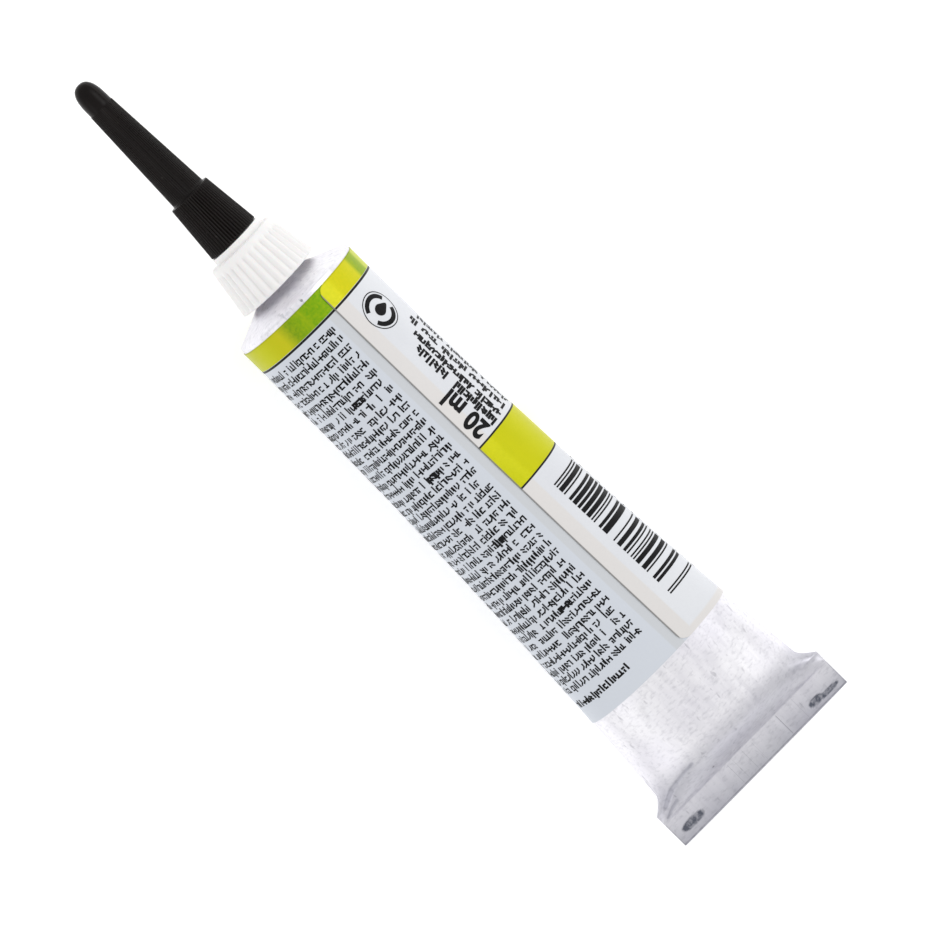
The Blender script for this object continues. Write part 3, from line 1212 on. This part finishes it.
def film_finish(groups):
    """Printed film: pale panels, lime metallic bands with thin dark lines, glue tints by the seam."""
    looks = {"IOR": 1.42, "Specular_IOR_Level": 0.2, "Coat_Roughness": 0.2}
    finish, tree, shader = new_finish("printed_film", **looks)
    around, along = flat_parts(tree)
    place = coordinates(tree)
    cloud, fine = (even_grain(tree, groups, place, scale) for scale in (90.0, 2600.0))

    def span(value, low, high, soft=0.03):
        links = {"Value": value, "Low": low, "High": high, "Soft": soft}
        return group_node(tree, groups["between"], links)

    def on_near_side(mask):
        return math_of(tree, "MULTIPLY", mask, span(around, -1.0, SECOND_BAND_REACH))

    panel = mix_colour(tree, cloud, linear(221, 223, 228), linear(227, 229, 233))
    panel = mix_colour(tree, span(around, WRAP - 32, WRAP + 9), panel, linear(211, 216, 224))
    lip = span(around, -1.0, 2.25, 0.25)
    margin = math_of(tree, "MAXIMUM", lip, on_near_side(span(along, 64.95, 80, 0.3)))
    panel = mix_colour(tree, margin, panel, linear(224, 221, 219))
    under = span(around, WRAP - 1.35, WRAP + 0.4, 0.2)
    panel = mix_colour(tree, under, panel, linear(206, 209, 213))
    panel = tinted(tree, fine, 0.05, panel, (190, 190, 196))
    first, second = span(along, -1.0, 3.6), on_near_side(span(along, 29.45, 36.75))
    lime = tinted(tree, fine, 0.35, band_ramp(tree, around), (190, 200, 8))
    plain_lime = mix_colour(tree, cloud, linear(196, 198, 10), linear(210, 206, 8))
    plain_lime = tinted(tree, fine, 0.3, plain_lime, (196, 200, 6))
    colour = mix_colour(tree, first, panel, lime)
    colour = mix_colour(tree, second, colour, plain_lime)
    colour = tinted(tree, span(along, -1.0, 0.62, 0.1), 0.35, colour, (120, 130, 20))
    edges = math_of(tree, "ADD", span(along, 29.2, 29.5, 0.04), span(along, 36.7, 37.0, 0.04))
    lines = math_of(tree, "MAXIMUM", span(along, 3.6, 3.95, 0.04), on_near_side(edges))
    colour = mix_colour(tree, lines, colour, linear(14, 15, 14))
    colour = tinted(tree, span(around, -1.0, 0.2, 0.08), 0.85, colour, (120, 119, 118))
    inked = math_of(tree, "MULTIPLY", math_of(tree, "MAXIMUM", first, second), 0.35)
    rough = math_of(tree, "MULTIPLY_ADD", fine, 0.10, 0.40)
    coat = math_of(tree, "MULTIPLY_ADD", cloud, 0.08, 0.06)
    feed(tree, shader, Base_Color=colour, Metallic=inked, Roughness=rough, Coat_Weight=coat)
    bump(tree, shader, fine, 0.12, 0.00002)
    return finish


def ink_finish(groups):
    finish, tree, shader = new_finish("black_print", IOR=1.45, Specular_IOR_Level=0.16)
    place = coordinates(tree)
    fine, cloud = (even_grain(tree, groups, place, scale) for scale in (2400.0, 300.0))
    tone = mix_colour(tree, fine, linear(7, 7, 8), linear(14, 14, 16))
    tone = tinted(tree, cloud, 0.4, tone, (22, 22, 25))
    feed(tree, shader, Base_Color=tone, Roughness=math_of(tree, "MULTIPLY_ADD", fine, 0.1, 0.4))
    bump(tree, shader, fine, 0.1, 0.00001)
    return finish


def plastic_finish(groups, name, look, **sockets):
    """Moulded plastic: clouded colour, rubbed edges or shaded grooves, dust and a fine grain."""
    finish, tree, shader = new_finish(name, **sockets)
    place = coordinates(tree)
    cloud = even_grain(tree, groups, place, look["cloud"])
    scale, low, high = look["grain"]
    fine = group_node(tree, groups["grain"], {"Vector": place, "Scale": scale, "Low": low, "High": high})
    base = mix_colour(tree, cloud, *(linear(*tone) for tone in look["tones"]))
    for low, high, share, tone in look["edges"]:
        mask = group_node(tree, groups["edges"], {"Low": low, "High": high})
        base = tinted(tree, mask, share, base, tone)
    scale, size, some, share, tone = look["dust"]
    links = {"Vector": place, "Scale": scale, "Size": size, "Share": some}
    base = tinted(tree, group_node(tree, groups["specks"], links), share, base, tone)
    rough = math_of(tree, "MULTIPLY_ADD", fine, 0.1, look["roughness"])
    feed(tree, shader, Base_Color=base, Roughness=rough)
    bump(tree, shader, fine, look["bump"], 0.00002)
    return finish


def nozzle_finish(groups):
    look = {
        "cloud": 160.0,
        "grain": (1800.0, 0.3, 0.7),
        "tones": ((241, 239, 238), (246, 245, 244)),
        "edges": ((0.53, 0.62, 0.35, (252, 252, 252)), (0.495, 0.445, 0.5, (196, 193, 190))),
        "dust": (500.0, 0.09, 0.06, 0.3, (170, 168, 166)),
        "roughness": 0.32,
        "bump": 0.12,
    }
    sockets = {"IOR": 1.49, "Subsurface_Weight": 0.05, "Subsurface_Scale": 0.0006}
    return plastic_finish(groups, "white_plastic", look, **sockets)


def cap_finish(groups):
    look = {
        "cloud": 220.0,
        "grain": (2200.0, 0.35, 0.65),
        "tones": ((9, 4, 3), (16, 10, 8)),
        "edges": ((0.52, 0.6, 0.4, (48, 43, 40)),),
        "dust": (900.0, 0.12, 0.12, 0.2, (90, 86, 80)),
        "roughness": 0.26,
        "bump": 0.2,
    }
    return plastic_finish(groups, "black_plastic", look, IOR=1.5, Specular_IOR_Level=0.15)


def paint_finish(groups):
    finish, tree, shader = new_finish("wet_paint", IOR=1.5, Coat_Weight=0.6, Coat_Roughness=0.06)
    cloud = even_grain(tree, groups, coordinates(tree), 240.0)
    base = mix_colour(tree, cloud, linear(20, 20, 22), linear(32, 32, 34))
    feed(tree, shader, Base_Color=base, Roughness=math_of(tree, "MULTIPLY_ADD", cloud, 0.06, 0.12))
    bump(tree, shader, cloud, 0.3, 0.0001)
    return finish


def floor_finish():
    white = (1.0, 1.0, 1.0, 1.0)
    looks = {"Base_Color": (0.9, 0.9, 0.9, 1.0), "Emission_Color": white, "Emission_Strength": 0.36}
    return new_finish("pale_floor", Roughness=0.7, **looks)[0]


# ---------------------------------------------------------------- stage


def build_floor():
    side, below = 1.6, -2e-5
    corners = ((-side, -side), (side, -side), (side, side), (-side, side))
    floor = make_piece("floor", np.array([(x, y, below) for x, y in corners]), [(0, 1, 2, 3)])
    floor.data.materials.append(floor_finish())


def area_light(name, place, target, size, power):
    data = bpy.data.lights.new(name, "AREA")
    data.shape = "RECTANGLE"
    data.size, data.size_y = size
    data.energy = power
    light = in_scene(name, data)
    light.location = place
    light.rotation_euler = (Vector(target) - Vector(place)).to_track_quat("-Z", "Y").to_euler()


def light_room():
    world = bpy.data.worlds.new("room")
    bpy.context.scene.world = world
    world.use_nodes = True
    back = world.node_tree.nodes["Background"]
    back.inputs[0].default_value = (1.0, 1.0, 1.0, 1)
    back.inputs[1].default_value = 0.84
    area_light("key", (-0.05, 0.55, 0.55), (0, 0, 0.01), (0.5, 0.35), 1.0)
    area_light("fill", (0.15, -0.6, 0.45), (0, 0, 0.01), (0.6, 0.3), 0.3)
    bpy.context.scene.view_settings.view_transform = "Standard"


def unit(vector):
    return vector / np.linalg.norm(vector)


def build_camera():
    """A long lens above the tube, leaning to the hem, rolled so that the tube runs corner to corner."""
    axis = LIE["turn"] @ np.array([1.0, 0, 0])
    lean = math.asin(math.cos(math.radians(VIEW_ANGLE))) - math.atan2(-axis[2], axis[0])
    forward = np.array([math.sin(lean), 0, -math.cos(lean)])
    along = unit(axis - axis.dot(forward) * forward)
    roll = math.radians(ROLL)
    side = np.array([0, 1.0, 0])
    right = math.cos(roll) * along + math.sin(roll) * side
    up = -math.sin(roll) * along + math.cos(roll) * side
    place = laid(np.array(AIM)) - forward * DISTANCE * MM
    data = bpy.data.cameras.new("camera")
    data.lens, data.sensor_width, data.clip_end = LENS, SENSOR, 10
    camera = in_scene("camera", data)
    turned_to = [[right[i], up[i], -forward[i], place[i]] for i in range(3)]
    camera.matrix_world = Matrix(turned_to + [[0, 0, 0, 1]])
    bpy.context.scene.camera = camera


def dress(piece, finish, body, node):
    piece.data.materials.clear()
    piece.data.materials.append(finish)
    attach(piece, body)
    if node:
        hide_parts(node)


def main():
    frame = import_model()
    read_lie(frame["record"])
    groups = {"between": span_group(), "grain": grain_group(), "specks": speck_group(), "edges": edge_group()}
    metal, film_look, ink = metal_finish(groups), film_finish(groups), ink_finish(groups)
    white, black, paint_look = nozzle_finish(groups), cap_finish(groups), paint_finish(groups)
    dress(build_tube(), metal, "tube_body", "tube")
    film, sheet = build_film()
    for piece in build_print(sheet, ink):
        dress(piece, ink, "tube_body", None)
    bpy.data.objects.remove(sheet)
    dress(film, film_look, "tube_body", "label")
    dress(build_paint(), paint_look, "tube_body", "paint")
    ribs, thread = rib_tree(), thread_tree()
    dress(build_nozzle(ribs, white), white, "nozzle_body", "nozzle")
    dress(build_cap(ribs, black), black, "cap_body", "cap")
    neck = build_thread("neck_thread", thread, -3.35, -8.7, 3.88, 4.4, metal)
    dress(neck, metal, "tube_body", None)
    stub = build_thread("stub_thread", thread, -11.3, -16.4, 2.43, 4.6, white)
    dress(stub, white, "nozzle_body", None)
    build_floor()
    light_room()
    build_camera()


main()
